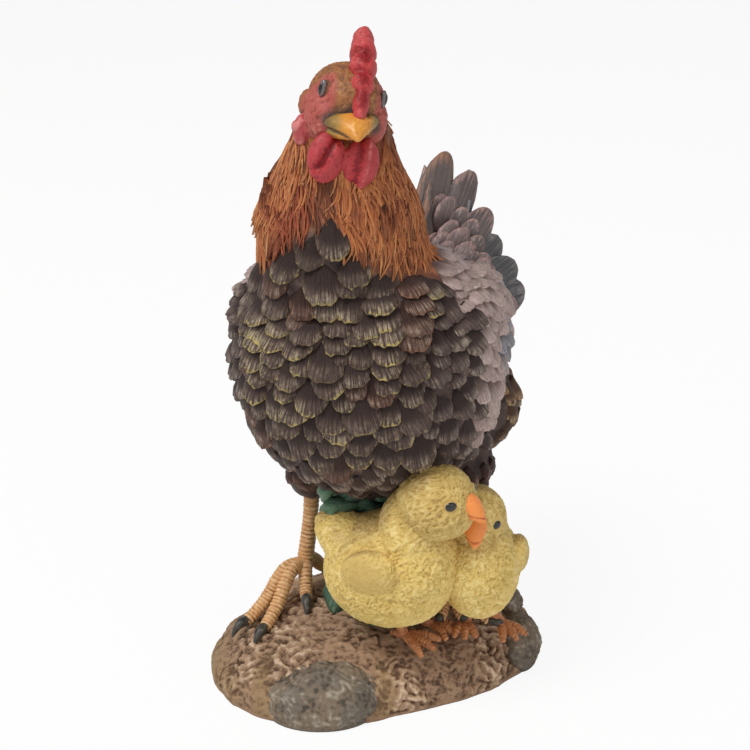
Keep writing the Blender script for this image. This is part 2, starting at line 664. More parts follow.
hackle = dict(seed=11, lift=0.0010,
              lock=dict(width=0.0075, length=0.023, row=0.0060, gap=0.0042, tilt=0.02, sink=0.0010),
              strand=dict(width=0.0011, length=0.0155, row=0.0033, gap=0.00125, tilt=0.035, sink=0.0003),
              hem=((-180, 0.1720), (-150, 0.1755), (-131, 0.1800), (-111, 0.1865), (-96, 0.1925), (-88, 0.1960),
                   (-80, 0.1960), (-73, 0.1910), (-68, 0.1845), (-51, 0.1800), (-34, 0.1772), (-11, 0.1736),
                   (30, 0.1720), (180, 0.1720)),
              gold=(paint(216, 138, 82), paint(248, 202, 142)), brown=(paint(188, 112, 68), paint(234, 172, 114)),
              dark=(paint(134, 76, 50), paint(192, 126, 86)), red=(paint(158, 76, 52), paint(214, 134, 92)),
              throat=(paint(100, 56, 42), paint(150, 92, 66)))


def hemLevel(azimuth):
    # How far down the hackles reach at each side: the breast feathers climb into a notch at the front.
    for (low, first), (high, second) in zip(hackle["hem"], hackle["hem"][1:]):
        if azimuth <= high:
            return first + (second - first) * (azimuth - low) / (high - low)
    return hackle["hem"][-1][1]


def overHem(point):
    # How far a point is from the cape's axis, and how high it is over the hem at that side.
    offset = point.xy - Vector(hen["capeCentre"])
    return offset.length, point.z - hemLevel(math.degrees(math.atan2(offset.y, offset.x)))


def inCape(point):
    reach, rise = overHem(point)
    return rise > -0.0022 and reach < hen["capeWidth"] / 2 + 0.002


def regionOf(point):
    # Which paint and size a feather has, from where it sits on the hen.
    wander = 0.004 * noise.noise(point * 60)
    if point.y > 0.030 and point.z < 0.122 + wander and abs(point.x) > 0.012:
        return "fluff"
    if point.z < 0.092 + wander and abs(point.x) > 0.016:
        return "thigh"
    if abs(point.x) > 0.027 and point.y > -0.022 + wander and point.z > 0.112:
        return "slate" if noise.noise(point * 38) > 0.12 and point.z > 0.135 else "wing"
    if point.y > 0.006 and point.z > 0.140:
        return "back"
    if point.z < 0.108 + wander:
        return "low"
    if abs(point.x) > 0.034:
        return "flank"
    return "rust" if noise.noise(point * 55 + Vector((3, 1, 7))) > 0.30 else "breast"


def plumageSpots(kind):
    layout = plumage[kind]
    dice = random.Random(plumage["seed"])
    middle = Vector((0, 0.010, hen["bellyLevel"] + hen["bodyHeight"] * 0.45))
    pole = Vector((0, -0.50, 0.86)).normalized()
    sideways = Vector((1, 0, 0))
    forward = pole.cross(sideways).normalized()

    def reachAt(degrees, nearest, far):
        # Roughly how far the body's surface is from the middle, this many degrees from the pole.
        return nearest + 0.019 * smoothStep(75, 25, degrees) + far * smoothStep(100, 130, degrees)

    spots, turns = [], [0.06]
    while turns[-1] < math.radians(160):
        turns.append(turns[-1] + layout["row"] / reachAt(math.degrees(turns[-1]), 0.045, 0.010))
    for row, rowTurn in enumerate(turns):
        degrees = math.degrees(rowTurn)
        reach = reachAt(degrees, 0.044, 0.012)
        columns = max(6, round(math.tau * reach * math.sin(rowTurn) / layout["gap"]))
        for column in range(columns):
            phi = math.tau * (column + 0.5 * (row % 2) + dice.uniform(-0.20, 0.20)) / columns
            level = rowTurn + dice.uniform(-0.28, 0.28) * layout["row"] / reach
            circle = sideways * math.cos(phi) + forward * math.sin(phi)
            hit, normal, _, _ = coreTree.ray_cast(middle, pole * math.cos(level) + circle * math.sin(level))
            if hit is None or inCape(hit) or hit.z < hen["bellyLevel"] + 0.001:
                continue
            region = regionOf(hit)
            if (region in ("wing", "slate", "back")) != (kind == "small"):
                continue
            flow = circle * math.cos(level) - pole * math.sin(level) - up * 1.3 * smoothStep(55, 20, degrees)
            along = (flow - normal * flow.dot(normal)).normalized()
            flat = plumage["flatness"].get(region, 1.0)
            size = dice.uniform(0.84, 1.10) * plumage["sizes"].get(region, 1.0)
            root = hit - along * layout["length"] * size * 0.52 - normal * layout["sink"] * flat
            lean = Matrix.Rotation(layout["tilt"] * flat * dice.uniform(0.75, 1.2), 3, along.cross(normal))
            matrix = frameMatrix(root, lean @ along, lean @ normal)
            base, rim = plumage[region]
            base = blendTone(base, plumage["breast"][0], dice.uniform(0, 0.35))
            bright = region == "breast" and dice.random() < 0.55
            rim = blendTone(rim, base, dice.uniform(0.0, 0.35) if bright else dice.uniform(0.35, 0.85))
            spots.append(spot(matrix, base, rim, dice.randrange(5), dice.random(), (size, size, 1)))
    return spots


def bareSkin(place, normal):
    # Between the feathers the body is brown, and rust under the hackles.
    rusty = smoothStep(-0.004, 0.003, overHem(place)[1])
    return 0.0004 * noise.noise(place * 300), 0.5 + noise.noise(place * 260), rusty


finishPiece("bodySkin", carve(core, bareSkin), skinPaint)

scallops = [unitFeather("scallop", 20 + index, 9, 4, 0.60, 0.60, 1.0, 0.34 + 0.05 * index, 1.2, 0.07, 0.030,
                        0.08 * (index % 2)) for index in range(5)]
for kind, name, coat in (("big", "bodyFeathers", plumagePaint), ("small", "wingFeathers", covertPaint)):
    layout = plumage[kind]
    size = (layout["width"], layout["length"], plumage["bulge"] * layout["width"])
    scatterPiece(name, plumageSpots(kind), scallops, coat, size, 0.20, 0.06, 3)


# Hackles: locks from the head to the cape's ragged hem, and fine strands over them

def hackleSpots(kind):
    layout = hackle[kind]
    dice = random.Random(hackle["seed"])
    bottom = capeLevels()[1][0] + layout["length"] * 0.40
    top = head["level"] - 0.008
    rows = round((top - bottom) / layout["row"]) + 1
    inward = headFrame().inverted()
    spots = []
    for row in range(rows):
        share = row / (rows - 1)
        reach = hen["capeWidth"] / 2 + (hen["neckWidth"] - hen["capeWidth"]) / 2 * share
        columns = round(math.tau * reach / layout["gap"])
        for column in range(columns):
            phi = math.tau * (column + 0.5 * (row % 2) + dice.uniform(-0.4, 0.4)) / columns
            ray = Vector((math.cos(phi), math.sin(phi), 0))
            azimuth = math.degrees(math.atan2(ray.y, ray.x))
            level = bottom + (top - bottom) * share + dice.uniform(-0.5, 0.5) * layout["row"]
            if level - layout["length"] * 0.46 < hemLevel(azimuth) - dice.uniform(0.0005, 0.0045):
                continue
            axis = Vector((-0.004, -0.024, level))
            hit, normal, _, _ = coreTree.ray_cast(axis, ray)
            if hit is None or (hit - axis).length > hen["capeWidth"] / 2 + 0.006:
                continue
            fall = -up + ray * 0.05
            along = (fall - normal * fall.dot(normal)).normalized()
            here = inward @ hit
            if here.y < 0.004 and here.z > -0.016:
                continue
            sweep = 0.6 * noise.noise(hit * 70) + 0.4 * noise.noise(hit * 190)
            along = Matrix.Rotation(sweep, 3, normal) @ along
            band = math.exp(-((azimuth + 85) / 9) ** 2)
            root = hit - along * layout["length"] * 0.5 - normal * (layout["sink"] + 0.0004 * band)
            lean = Matrix.Rotation(layout["tilt"] * dice.uniform(0.4, 1.3), 3, along.cross(normal))
            matrix = frameMatrix(root, lean @ along, lean @ normal)
            if band > 0.45:
                tone = "throat"
            elif -140 < azimuth < -94 and level < hemLevel(azimuth) + 0.016:
                tone = "red"
            else:
                tone = dice.choice(("gold", "gold", "brown", "brown", "brown", "dark"))
            base, rim = hackle[tone]
            base = blendTone(base, hackle["brown"][0], dice.uniform(0, 0.4))
            rim = blendTone(rim, base, dice.uniform(0.0, 0.6))
            slim = dice.uniform(0.7, 1.3)
            spots.append(spot(matrix, base, rim, dice.randrange(4), dice.random(),
                              (slim, dice.uniform(0.75, 1.15), 1)))
    return spots


def unitStrand(seed):
    # One wavy hair of the plumage, 1 wide and 1 long, with four sides.
    dice = random.Random(seed)
    bm = unitShape()
    swing, phase, rows = dice.uniform(0.8, 1.7), dice.uniform(0, 3), 6
    rings, coordinates = [], {}
    for row in range(rows + 1):
        v = row / rows
        half = 0.5 * (0.30 + 0.70 * smoothStep(0, 0.3, v)) * (1 - 0.88 * smoothStep(0.55, 1, v))
        x = swing * (math.sin(5.5 * v + phase) - math.sin(phase)) * 0.7
        ring = []
        for across, rise in ((-1, 0.1), (0, 0.62), (1, 0.1), (0, -0.5)):
            vertex = bm.verts.new((x + across * half, v, rise * (0.4 + half) + 0.35 * math.sin(math.pi * v)))
            coordinates[vertex] = (0.5 + 0.4 * across, v)
            ring.append(vertex)
        rings.append(ring)
    bridge(bm, rings)
    return unitMesh(bm, "strand", coordinates)


locks = [unitFeather("lock", 60 + index, 6, 7, 0.22, 0.50, 0.30, 0.35, 0.9, 0.26, 0.02) for index in range(4)]
hairs = [unitStrand(90 + index) for index in range(4)]
for kind, name, shapes, coat in (("lock", "hackleFeathers", locks, hacklePaint),
                                 ("strand", "hackleStrands", hairs, strandPaint)):
    size = (hackle[kind]["width"], hackle[kind]["length"], hackle["lift"])
    scatterPiece(name, hackleSpots(kind), shapes, coat, size, 0.16, 0.1, 5)


# Tail: two fans of broad feathers that lean together like a tent, with coverts over their roots

tailLook = dict(width=0.0205, thickness=0.0021, seed=23, covertWidth=0.0125, covertLength=0.0165,
                covertLift=0.0012, webGrain=0.0011, webReach=0.86,
                front=(paint(120, 106, 102), paint(176, 124, 92)), grey=(paint(112, 100, 98), paint(196, 156, 148)),
                teal=(paint(84, 88, 90), paint(150, 140, 138)), covert=(paint(140, 122, 119), paint(196, 156, 150)))


def tailDirection(side, sweep, drop=0.0):
    rise = math.radians(tail["topRise"] - tail["sweep"] * sweep - drop)
    opened = tail["spread"] * math.sin(math.radians(90) * sweep)
    spread = math.radians(tail["opening"] + side * tail["lean"] + opened)
    return Vector((side * math.sin(spread), math.cos(spread) * math.cos(rise), math.cos(spread) * math.sin(rise)))


def tailRoot(side, sweep):
    return Vector((side * tail["gap"] * (1 + 3 * sweep), tail["rootSetback"], tail["rootLevel"]))


def tailLength(sweep):
    place = sweep * (len(tail["outline"]) - 1)
    low = min(int(place), len(tail["outline"]) - 2)
    first, second = tail["outline"][low:low + 2]
    return tail["radius"] * (first + (second - first) * (place - low))


def fanPlace(side, sweep, layer, lift):
    direction = tailDirection(side, sweep, 3 * layer)
    flare = Vector((side, -0.40, 0.15))
    outward = (flare - direction * flare.dot(direction)).normalized()
    return direction, outward, tailRoot(side, sweep) + outward * lift


def tailSpots():
    dice = random.Random(tailLook["seed"])
    spots = []
    for side in (-1, 1):
        for layer, (share, count) in enumerate(((1.0, 6), (0.76, 6), (0.54, 5))):
            for step in range(count):
                sweep = step / (count - 1)
                lift = 0.0026 * layer - 0.0012 * (step % 2) + 0.0004
                direction, outward, root = fanPlace(side, sweep, layer, lift)
                kind = "front" if sweep < 0.15 else "grey" if sweep < 0.5 else "teal"
                base, rim = tailLook[kind if layer == 0 else "grey"]
                base = blendTone(base, tailLook["grey"][0], dice.uniform(0, 0.3))
                rim = blendTone(rim, base, dice.uniform(0.0, 0.25))
                length = tailLength(sweep) * share / tail["radius"] * (0.88 if side < 0 and sweep < 0.1 else 1)
                matrix = frameMatrix(root, direction, outward)
                spots.append(spot(matrix, base, rim, dice.randrange(3), dice.random(),
                                  (1 - 0.10 * layer, length, 1)))
    return spots


def covertSpots():
    dice = random.Random(tailLook["seed"])
    spots = []
    for side in (-1, 1):
        for layer, share in enumerate((0.74, 0.66, 0.58, 0.50, 0.42, 0.34, 0.26, 0.18)):
            count = 9 - layer // 2
            for step in range(count):
                sweep = (step + 0.5 * (layer % 2)) / (count - 0.5)
                direction, outward, root = fanPlace(side, sweep, 1.5, 0.0052 + 0.0006 * layer)
                reach = tailLength(sweep) * share * dice.uniform(0.96, 1.04) - tailLook["covertLength"]
                start = root + direction * reach
                lean = Matrix.Rotation(0.14, 3, direction.cross(outward))
                base, rim = tailLook["covert" if layer > 1 or dice.random() < 0.5 else "grey"]
                rim = blendTone(rim, base, dice.uniform(0.0, 0.4))
                matrix = frameMatrix(start, lean @ direction, lean @ outward)
                spots.append(spot(matrix, base, rim, dice.randrange(3), dice.random(),
                                  (dice.uniform(0.85, 1.1),) * 2 + (1,)))
    return spots


def tailWeb():
    # The cast is solid between the two fans, a little short of their tips.
    bm = bmesh.new()
    steps, across, rows = 14, 10, []
    for step in range(steps):
        sweep = step / (steps - 1)
        reach = tailLength(sweep) * tailLook["webReach"]
        left, right = (tailRoot(side, sweep) + tailDirection(side, sweep) * reach for side in (-1, 1))
        rows.append([bm.verts.new(left.lerp(right, part / across)) for part in range(across + 1)])
    heart = bm.verts.new((0, tail["rootSetback"] - 0.010, tail["rootLevel"] - 0.016))
    for upper, lower in zip(rows, rows[1:]):
        for part in range(across):
            bm.faces.new((upper[part], upper[part + 1], lower[part + 1], lower[part]))
        bm.faces.new((upper[0], lower[0], heart))
        bm.faces.new((lower[across], upper[across], heart))
    for part in range(across):
        bm.faces.new((rows[0][part + 1], rows[0][part], heart))
        bm.faces.new((rows[-1][part], rows[-1][part + 1], heart))

    def depthAt(place, normal):
        groove = math.sin(abs(place.x) * 2600)
        return 0.0005 * groove, 0.5 + 0.5 * groove, 0.0

    return carve(fused(meshFrom(bm, "web"), tailLook["webGrain"], 3), depthAt)


broad = [unitFeather("broad", 80 + index, 12, 12, 0.50, 0.62, 0.98, 0.30, 0.75, 0.04, 0.004) for index in range(3)]
scatterPiece("tailFeathers", tailSpots(), broad, tailPaint,
             (tailLook["width"], tail["radius"], tailLook["thickness"]), 0.01, 0.0, 9)
rounds = [unitFeather("covert", 110 + index, 8, 5, 0.55, 0.60, 0.96, 0.50, 0.9, 0.05, 0.01) for index in range(3)]
scatterPiece("tailCoverts", covertSpots(), rounds, covertPaint,
             (tailLook["covertWidth"], tailLook["covertLength"], tailLook["covertLift"]), 0.10, 0.05, 15)
finishPiece("tailHeart", tailWeb(), castPaint("tailHeartPaint", dict(
    base=(96, 92, 92), wash=(52, 48, 48), light=(150, 144, 142), roughness=0.62)))


# Head

def strandRidge(place, scale, warp, offset=0.0):
    # 1 along thin wandering lines and less between them.
    bent = place * scale + noise.noise_vector(place * scale * 0.45) * warp + Vector((offset, offset, 0))
    return 1 - min(1.0, abs(noise.noise(bent)) * 3.2)


def headSkin():
    bm = bmesh.new()
    look = headFrame()
    half = head["width"] / 2
    blob(bm, (0, 0, 0), (head["width"], head["length"], head["height"]), frameOf=look)
    for side in (-1, 1):
        blob(bm, (side * half * 0.64, -0.005, -0.0065), (half, half * 1.4, half * 1.4), frameOf=look)
        blob(bm, (side * half, 0.003, -0.0040), (0.0050, 0.0080, 0.0090), frameOf=look)
    mesh = fused(meshFrom(bm, "headSkin"), head["grain"], 3)
    inward = look.inverted()

    def depthAt(place, normal):
        here = inward @ place
        eyeGap = math.hypot(here.y - henEye["place"].y, (here.z - henEye["place"].z) * 0.75)
        ring = smoothStep(0.0052, 0.0036, eyeGap)
        cheek = smoothStep(0.0035, 0.0010, here.z + 0.25 * here.y) * smoothStep(0.004, -0.001, here.y)
        face = max(ring, cheek) * smoothStep(0.0060, 0.0082, abs(here.x))
        plumy = 1 - face
        ridge = strandRidge(Vector((here.x, here.y * 0.35, here.z * 0.6)), 900, 1.0)
        wrinkle = noise.noise(place * 900) + 0.5 * noise.noise(place * 420)
        lid = math.exp(-((eyeGap - 0.0036) / 0.0008) ** 2)
        socket = smoothStep(0.0030, 0.0015, eyeGap)
        height = plumy * ridge * 0.00035 + face * (0.00022 * wrinkle + 0.0005 * lid - 0.0006 * socket)
        corner = Vector((math.copysign(0.0082, here.x), -0.0138, -0.0066))
        dark = 0.8 * smoothStep(0.0036, 0.0014, (here - corner).length)
        brow = -0.0022 + 0.0010 * math.cos(here.x * 500) - 0.35 * abs(here.x)
        cere = math.exp(-((here.z - brow) / 0.0024) ** 2)
        cere *= smoothStep(-0.0095, -0.0125, here.y) * smoothStep(0.0100, 0.0080, abs(here.x))
        return height, plumy * (0.25 + 0.6 * ridge) + face * (0.5 + wrinkle * 0.5), plumy, max(dark, cere)

    return carve(mesh, depthAt)


henEye = dict(place=Vector((0.0107, -0.0082, 0.0026)), turn=23, rim=(0.0024, 0.0031, 0.0062),
              ball=(0.0020, 0.0020, 0.0044))
finishPiece("headSkin", headSkin(), castPaint("headPaint", dict(
    base=(172, 84, 74), wash=(112, 50, 44), light=(206, 128, 114), baseTwo=(148, 94, 54), washTwo=(98, 58, 36),
    lightTwo=(192, 140, 88), shade=(66, 62, 56), roughness=0.55, brushStart=0.55, streaks=1200.0)))

# Lobes by how far forward, how high and how thick; hollows by place on the front edge
comb = dict(height=0.0245, thickness=0.0092, lean=-5, turn=-11, shift=0.0042, lobe=0.0108, grain=0.00045,
            lobes=((0.46, -0.13, 0.50), (0.45, 0.04, 0.64), (0.37, 0.25, 0.86), (0.25, 0.46, 1.0),
                   (0.08, 0.65, 0.96), (-0.12, 0.78, 0.78), (-0.30, 0.70, 0.72), (-0.44, 0.48, 0.66)),
            hollows=((0.0014, -0.006, 0.0162), (0.0006, -0.011, 0.0098), (0.0008, -0.0145, 0.0028)))


def combBlade():
    bm = bmesh.new()
    turn = Matrix.Rotation(math.radians(comb["turn"]), 4, "Z")
    lean = Matrix.Rotation(math.radians(comb["lean"]), 4, "Y")
    look = headFrame() @ Matrix.Translation((comb["shift"], 0, 0)) @ turn @ lean
    for forward, rise, thick in comb["lobes"]:
        blob(bm, (0, -head["length"] * forward, comb["height"] * rise),
             (comb["thickness"] * thick, comb["lobe"], comb["lobe"]), frameOf=look)
    blob(bm, (0, 0, comb["height"] * 0.38),
         (comb["thickness"] * 0.76, head["length"] * 0.84, comb["height"] * 0.84), frameOf=look)
    mesh = fused(meshFrom(bm, "comb"), comb["grain"], 2)
    inward = headFrame().inverted()

    def depthAt(place, normal):
        here = inward @ place
        hollow = 0.0
        for x, y, z in comb["hollows"]:
            near = math.exp(-((here.x - x) / 0.0024) ** 2 - ((here.z - z) / 0.0027) ** 2)
            hollow = max(hollow, near * smoothStep(y + 0.006, y + 0.001, here.y))
        hollow = min(1.0, hollow * 1.3)
        grain = noise.noise(place * 1100) + 0.5 * noise.noise(place * 500)
        fold = strandRidge(place, 260, 0.6)
        height = 0.00016 * grain + 0.0003 * fold - 0.0009 * hollow
        return height, 0.40 + 0.30 * grain + 0.22 * fold - 0.5 * hollow, hollow

    return carve(mesh, depthAt)


redLook = dict(base=(190, 72, 72), wash=(150, 44, 44), light=(222, 136, 132), baseTwo=(182, 34, 42),
               washTwo=(136, 20, 26), lightTwo=(200, 62, 64), roughness=0.5, brushStart=0.50, brushAmount=0.75,
               streaks=1500.0)
finishPiece("combBlade", combBlade(), castPaint("combPaint", redLook))

wattle = dict(width=0.0128, drop=0.0175, depth=0.0080, forward=0.0125, level=-0.01925, earLobe=0.0100,
              earLevel=-0.0125, grain=0.00045)


def wattleLobes():
    bm = bmesh.new()
    look = headFrame()
    half = head["width"] / 2
    ear = wattle["earLobe"]
    for side in (-1, 1):
        blob(bm, (side * wattle["width"] * 0.48, -wattle["forward"], wattle["level"]),
             (wattle["width"], wattle["depth"], wattle["drop"]), frameOf=look)
        blob(bm, (side * half * 0.98, 0, wattle["earLevel"]), (ear * 0.85, ear, ear * 1.1), frameOf=look)
    mesh = fused(meshFrom(bm, "wattles"), wattle["grain"], 3)
    inward = look.inverted()

    def depthAt(place, normal):
        here = inward @ place
        side = -1 if here.x < 0 else 1
        across = (here.x - side * wattle["width"] * 0.48) / (wattle["width"] / 2)
        down = (here.z - wattle["level"]) / (wattle["drop"] / 2)
        front = smoothStep(-0.009, -0.013, here.y)
        grain = noise.noise(place * 1000) + 0.5 * noise.noise(place * 450)
        if side < 0:
            groove = front * smoothStep(-0.75, -0.35, down) * math.exp(-((across + 0.20 - 0.62 * down) / 0.27) ** 2)
            height, ridge = -0.0019 * groove, 0.0
        else:
            groove = front * math.exp(-((across + 0.30) / 0.22) ** 2)
            ridge = front * math.exp(-((across - 0.20) / 0.15) ** 2)
            height = -0.0009 * groove + 0.0006 * ridge
        pitted = smoothStep(-0.0125, -0.0080, here.y) * smoothStep(0.0082, 0.0105, abs(here.x))
        wrinkle = noise.noise(place * 330 + Vector((4, 4, 4)))
        height += 0.00014 * grain + pitted * 0.0011 * wrinkle
        relief = 0.42 + 0.30 * grain + 0.30 * ridge - 0.35 * groove + pitted * (0.15 + 0.9 * wrinkle)
        return height, relief, min(1.0, 0.45 * front + groove) * (1 - 0.7 * pitted)

    return carve(mesh, depthAt)


finishPiece("wattleLobes", wattleLobes(), castPaint("wattlePaint", redLook | dict(
    base=(176, 72, 74), wash=(128, 44, 46), light=(216, 134, 132), baseTwo=(182, 44, 52), washTwo=(128, 22, 28),
    lightTwo=(220, 104, 104))))

# Each row is how far out, how far down, half width and half depth
beak = dict(length=0.0135, width=0.0206, level=-0.0062, grain=0.00035,
            ridge=((-0.4, 0.03, 0.95, 0.34), (0.0, 0.0, 1.0, 0.38), (0.3, 0.02, 0.80, 0.37),
                   (0.6, 0.09, 0.50, 0.30), (0.82, 0.20, 0.28, 0.20), (1.0, 0.31, 0.06, 0.06)),
            jaw=((-0.4, 0.20, 0.86, 0.301), (0.0, 0.22, 0.84, 0.294), (0.35, 0.25, 0.58, 0.203),
                 (0.66, 0.30, 0.16, 0.056)))


def hornBeak():
    bm = bmesh.new()
    look = headFrame()
    start, length, half = head["length"] * 0.36, beak["length"], beak["width"] / 2

    for rows, sides in ((beak["ridge"], 32), (beak["jaw"], 24)):
        line = [look @ Vector((0, -(start + length * out), beak["level"] - length * drop))
                for out, drop, _, _ in rows]
        path, wide = smoothPath(line, [half * row[2] for row in rows], 0.0004)
        _, deep = smoothPath(line, [half * row[3] for row in rows], 0.0004)
        tube(bm, path, wide, deep, sides=sides)
    mesh = fused(meshFrom(bm, "beak"), beak["grain"], 2)
    inward = look.inverted()

    def depthAt(place, normal):
        here = inward @ place
        out = (-here.y - start) / length
        level = (here.z - beak["level"]) / half
        mouth = math.exp(-((level + 0.30 + 0.30 * out * out) / 0.055) ** 2)
        nostril = math.exp(-((abs(here.x) - 0.0042) / 0.0011) ** 2 - ((here.z + 0.0022) / 0.0010) ** 2)
        base = smoothStep(0.34, 0.10, out) * smoothStep(-0.10, 0.25, level)
        flank = smoothStep(0.0036, 0.0068, abs(here.x))
        rim = smoothStep(0.0062, 0.0090, abs(here.x))
        streak = noise.noise(Vector((here.x * 900, here.y * 260, here.z * 900)))
        return (0.00006 * streak - 0.0005 * max(mouth, nostril), 0.55 + 0.5 * streak,
                max(0.85 * flank, 0.35 * base), max(mouth * 0.9, nostril, base * 0.92, 0.5 * rim))

    return carve(mesh, depthAt)


finishPiece("beakHorn", hornBeak(), castPaint("beakPaint", dict(
    base=(212, 142, 54), wash=(176, 106, 40), light=(230, 178, 92), baseTwo=(138, 116, 58), washTwo=(84, 74, 46),
    lightTwo=(178, 148, 80), shade=(66, 60, 52), roughness=0.42, coat=0.15)))


def henEyes():
    # Each eye is a pale rim and a dark ball that stands out of it.
    bm, tones = bmesh.new(), []
    for side in (-1, 1):
        turn = -side * henEye["turn"]
        out = turned(turn, (side, 0, 0))
        place = henEye["place"] * Vector((side, 1, 1))
        for size, lift, tone in ((henEye["rim"], -0.0001, 1.0), (henEye["ball"], 0.0005, 0.0)):
            blob(bm, place + out * lift, size, turn=turn, frameOf=headFrame())
            tones += [tone] * (len(bm.verts) - len(tones))
    order = iter(tones)
    return carve(meshFrom(bm, "eyes"), lambda place, normal: (0.0, 0.5, next(order)))


finishPiece("henEyes", henEyes(), castPaint("eyePaint", dict(
    base=(26, 24, 24), wash=(16, 15, 15), light=(44, 40, 40), baseTwo=(104, 96, 94), washTwo=(66, 58, 56),
    lightTwo=(134, 124, 120), roughness=0.22, coat=0.7, bump=0.02)))


# Legs and toes, ringed with scutes

# Toes by their angle from straight ahead and their length
legs = dict(thickness=0.0058, spread=0.064, back=0.001, toeThickness=0.0054, claw=0.0095, scute=0.0016,
            moundHeight=0.025,
            rightToes=((23, 0.034), (7, 0.034), (-24, 0.016), (200, 0.014)),
            leftToes=((78, 0.019), (44, 0.013), (0, 0.013), (200, 0.014)))


def scuteTube(bm, points, widths, pitch, sides=18):
    # A tube ringed with scutes, which writes the relief that its paint reads.
    depth = 0.11
    relief = bm.verts.layers.float.get("relief") or bm.verts.layers.float.new("relief")
    tone = bm.verts.layers.float.get("tone") or bm.verts.layers.float.new("tone")
    line, sizes = smoothPath(points, widths, 0.00030)
    travelled, rings = 0.0, []
    for index, centre in enumerate(line):
        along = (line[min(index + 1, len(line) - 1)] - line[max(index - 1, 0)]).normalized()
        if index:
            travelled += (centre - line[index - 1]).length
        wander = 0.35 * pitch * noise.noise(centre * 500)
        wave = abs(math.sin(math.pi * (travelled + wander) / pitch)) ** 0.55
        half = sizes[index] * (1 - depth + 2 * depth * wave)
        ring = ringAt(bm, centre, along, half, half, sides, up)
        for vertex in ring:
            bump = noise.noise(vertex.co * 900)
            vertex.co += (vertex.co - centre).normalized() * 0.00018 * bump
            vertex[relief] = 0.12 + 0.62 * wave + 0.35 * bump
            vertex[tone] = 0.0
        rings.append(ring)
    bridge(bm, rings)


def henLegs():
    bm, claws = bmesh.new(), bmesh.new()
    for side in (-1, 1):
        hip = Vector((side * hen["thighSpread"] / 2, -0.002, hen["bellyLevel"] + 0.006))
        ankle = Vector((side * legs["spread"] / 2, legs["back"], legs["moundHeight"] + 0.0105))
        knee = hip.lerp(ankle, 0.5) + Vector((0, 0.002, 0))
        half = legs["thickness"] / 2
        scuteTube(bm, [hip, knee, ankle, ankle - up * 0.006], [half * 1.15, half, half * 1.15, half * 0.6],
                  legs["scute"] * 1.25)
        for angle, length in legs["leftToes" if side > 0 else "rightToes"]:
            toe(bm, claws, ankle, side * angle, length, legs["claw"] * (0.15 if side > 0 and angle < 60 else 1))
    return meshFrom(bm, "legs"), meshFrom(claws, "claws")


def toe(bm, claws, ankle, angle, length, reach):
    forward = turned(angle, (0, -1, 0))
    half = legs["toeThickness"] / 2
    joints = [ankle + forward * length * share + up * (length * rise * 0.9 - half * share)
              for share, rise in ((0.0, 0.0), (0.35, 0.08), (0.7, -0.22), (1.0, -0.36))]
    scuteTube(bm, joints, [half * 1.12, half * 1.02, half * 0.98, half * 0.80], legs["scute"])
    end = joints[-1]
    nail = [end - forward * half * 1.2, end + forward * reach * 0.25 + up * 0.0006,
            end + forward * reach * 0.6 - up * reach * 0.12, end + forward * reach * 0.82 - up * reach * 0.42]
    line, sizes = smoothPath(nail, [half * 0.80, half * 0.78, half * 0.50, half * 0.12], 0.0006)
    tube(claws, line, sizes, sides=14)


legMesh, clawMesh = henLegs()
carve(clawMesh, lambda place, normal: (0.0, 0.5 + 0.8 * noise.noise(place * 500), 0.0))
finishPiece("henLegs", legMesh, castPaint("legPaint", dict(
    base=(204, 152, 100), wash=(112, 58, 38), light=(240, 208, 160), roughness=0.5, washReach=0.5, brushStart=0.5)))
finishPiece("henClaws", clawMesh, castPaint("clawPaint", dict(
    base=(72, 68, 62), wash=(40, 38, 36), light=(120, 116, 108), roughness=0.4, coat=0.1)))


# Ivy that climbs between the legs

ivy = dict(length=0.0185, width=0.0125, thickness=0.0048, clump=0.029, middle=Vector((-0.001, -0.001, 0)),
           grain=0.0012, seed=5,
           facing=20, topRow=(-0.0175, -0.0155, -0.012, -0.009, -0.006, -0.003, 0.0, 0.004, 0.008, 0.012, 0.015),
           green=(paint(98, 132, 104), paint(164, 186, 156)), dark=(paint(76, 106, 86), paint(136, 160, 134)))


def unitLeaf(seed):
    # A rounded, lobed and curled leaf, 1 wide and 1 long.
    dice = random.Random(seed)
    bm = unitShape()
    sides, rings = 20, 3
    middle = bm.verts.new((0, 0.5, 0.35))
    coordinates = {middle: (0.5, 0.45)}
    curl = dice.uniform(0.9, 1.6)
    loops = []
    for ring in range(1, rings + 1):
        share = ring / rings
        line = []
        for step in range(sides):
            angle = math.tau * step / sides
            lobe = 1 + 0.16 * math.cos(3 * angle + 0.4 * seed) + 0.06 * math.cos(5 * angle)
            x, y = 0.46 * lobe * share * math.sin(angle), 0.5 - 0.5 * lobe * share * math.cos(angle)
            vein = 0.30 * math.exp(-(x / 0.05) ** 2)
            z = 0.35 - curl * share * share - vein * (1 - share) + 0.12 * math.cos(6 * angle) * share
            vertex = bm.verts.new((x, y, z))
            coordinates[vertex] = (0.5 + x, min(1.0, 0.45 + 0.5 * share))
            line.append(vertex)
        loops.append(line)
    for step in range(sides):
        after = (step + 1) % sides
        bm.faces.new((middle, loops[0][step], loops[0][after]))
    bridge(bm, loops, capEnds=False)
    under = [bm.verts.new((vertex.co.x * 0.92, 0.5 + (vertex.co.y - 0.5) * 0.92, vertex.co.z - 0.8))
             for vertex in loops[-1]]
    for vertex in under:
        coordinates[vertex] = (0.5, 0.1)
    bridge(bm, [loops[-1], under], capEnds=False)
    bm.faces.new(list(reversed(under)))
    return unitMesh(bm, "leaf", coordinates)


